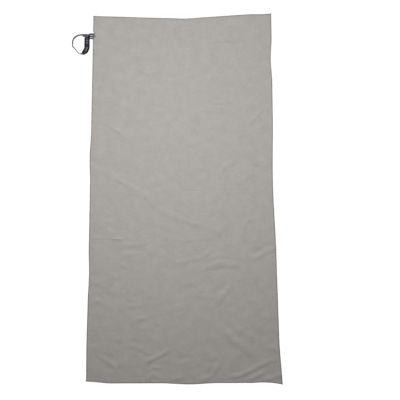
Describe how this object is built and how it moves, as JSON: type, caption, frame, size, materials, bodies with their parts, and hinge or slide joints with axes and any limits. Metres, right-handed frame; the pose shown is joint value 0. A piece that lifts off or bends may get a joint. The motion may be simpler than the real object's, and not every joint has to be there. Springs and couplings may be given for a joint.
{
  "type": "golf towel",
  "caption": "Flat rectangular suede-microfibre golf towel with an overlocked edge, crosswise fold creases and a webbing hanging loop sewn behind one long edge.",
  "frame": {"origin": "middle of the towel's back, where the middle crease crosses the centre line; z = 0 is the cloth's back face", "axes": "+Y towards the top edge, the one nearer the hanging loop; +X to the right seen from the face, so the loop is on the -X edge; +Z out of the face"},
  "size_m": [0.5567, 1, 0.0154],
  "materials": {
    "suede_microfibre": "matte brushed suede nap, warm grey",
    "overlock_thread": "matte textured thread, darker grey",
    "webbing": "fine woven polyester tape, near-black navy with a pale woven pattern"
  },
  "bodies": {
    "top_quarter": {"cloth_top": "suede_microfibre", "seam_top": "overlock_thread", "seam_left_top": "overlock_thread", "seam_right_top": "overlock_thread", "loop_end_lower": "webbing", "loop_end_upper": "webbing", "tack_face": "overlock_thread", "tack_back": "overlock_thread"},
    "upper_middle": {"cloth_upper": "suede_microfibre", "seam_left_upper": "overlock_thread", "seam_right_upper": "overlock_thread"},
    "lower_middle": {"cloth_lower": "suede_microfibre", "seam_left_lower": "overlock_thread", "seam_right_lower": "overlock_thread"},
    "bottom_quarter": {"cloth_bottom": "suede_microfibre", "seam_bottom": "overlock_thread", "seam_left_bottom": "overlock_thread", "seam_right_bottom": "overlock_thread"},
    "hanging_loop": {"loop_ring": "webbing"}
  },
  "joints": [
    {"name": "fold_top", "type": "hinge", "parent": "upper_middle", "child": "top_quarter", "pos_m": [0, 0.25, 0.00735], "axis": [1, 0, 0], "range_deg": [0, 179.9]},
    {"name": "fold_middle", "type": "hinge", "parent": "upper_middle", "child": "lower_middle", "pos_m": [0, 0, 0.00475], "axis": [-1, 0, 0], "range_deg": [0, 179.9]},
    {"name": "fold_bottom", "type": "hinge", "parent": "lower_middle", "child": "bottom_quarter", "pos_m": [0, -0.25, 0.00275], "axis": [-1, 0, 0], "range_deg": [0, 179.9]},
    {"name": "loop_swing", "type": "hinge", "parent": "top_quarter", "child": "hanging_loop", "pos_m": [-0.254, 0.44, 0.00175], "axis": [0, -1, 0], "range_deg": [-60, 0]}
  ]
}
